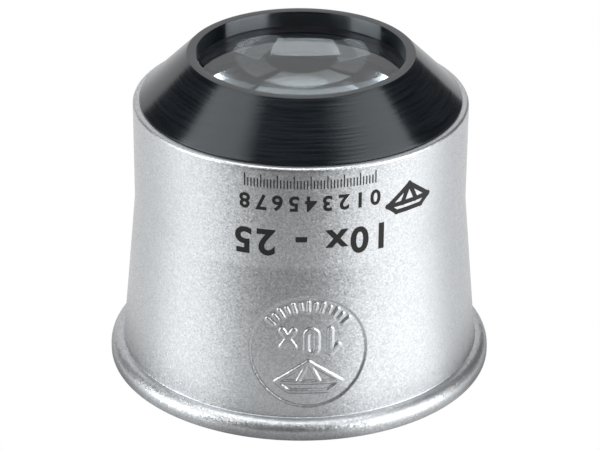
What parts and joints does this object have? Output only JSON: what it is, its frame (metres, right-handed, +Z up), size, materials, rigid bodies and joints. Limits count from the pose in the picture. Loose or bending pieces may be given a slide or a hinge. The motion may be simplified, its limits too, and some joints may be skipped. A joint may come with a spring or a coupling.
{
  "type": "jewellers eye loupe",
  "caption": "Eye-cup magnifier: flared cup held in the eye socket, with a conical black lens cell that screws out of its narrow end.",
  "frame": {"origin": "centre of the eye rim's flat underside", "axes": "+Z up along the optical axis, from the eye rim to the lens cell; -Y is the front of the cup, which carries the relief badge; +X to the right seen from the front"},
  "size_m": [0.036, 0.036, 0.0305],
  "materials": {
    "silver_paint": "moulded plastic with silver metallic paint, fine flake, satin clear coat",
    "black_anodised": "turned aluminium, black anodised, fine turning lines, semi-gloss",
    "matt_black": "turned aluminium, matt black against stray light",
    "optical_glass": "polished crown glass with a thin anti-reflection coating"
  },
  "bodies": {
    "cup": {"housing": "silver_paint"},
    "lens_stack": {"upper_lens": "optical_glass", "spacer_ring": "matt_black", "lower_lens": "optical_glass"},
    "lens_cell": {"lens_mount": "black_anodised", "retaining_ring": "matt_black"}
  },
  "joints": [
    {"name": "mount_rise", "type": "slide", "parent": "cup", "child": "lens_stack", "axis": [0, 0, 1], "range_m": [0, 0.003]},
    {"name": "mount_turn", "type": "hinge", "parent": "lens_stack", "child": "lens_cell", "pos_m": [0, 0, 0.024], "axis": [0, 0, 1], "range_deg": [0, 1080]}
  ],
  "couplings": [
    {"joint": "mount_turn", "follows": "mount_rise", "rad_per_m": 6283.2}
  ]
}
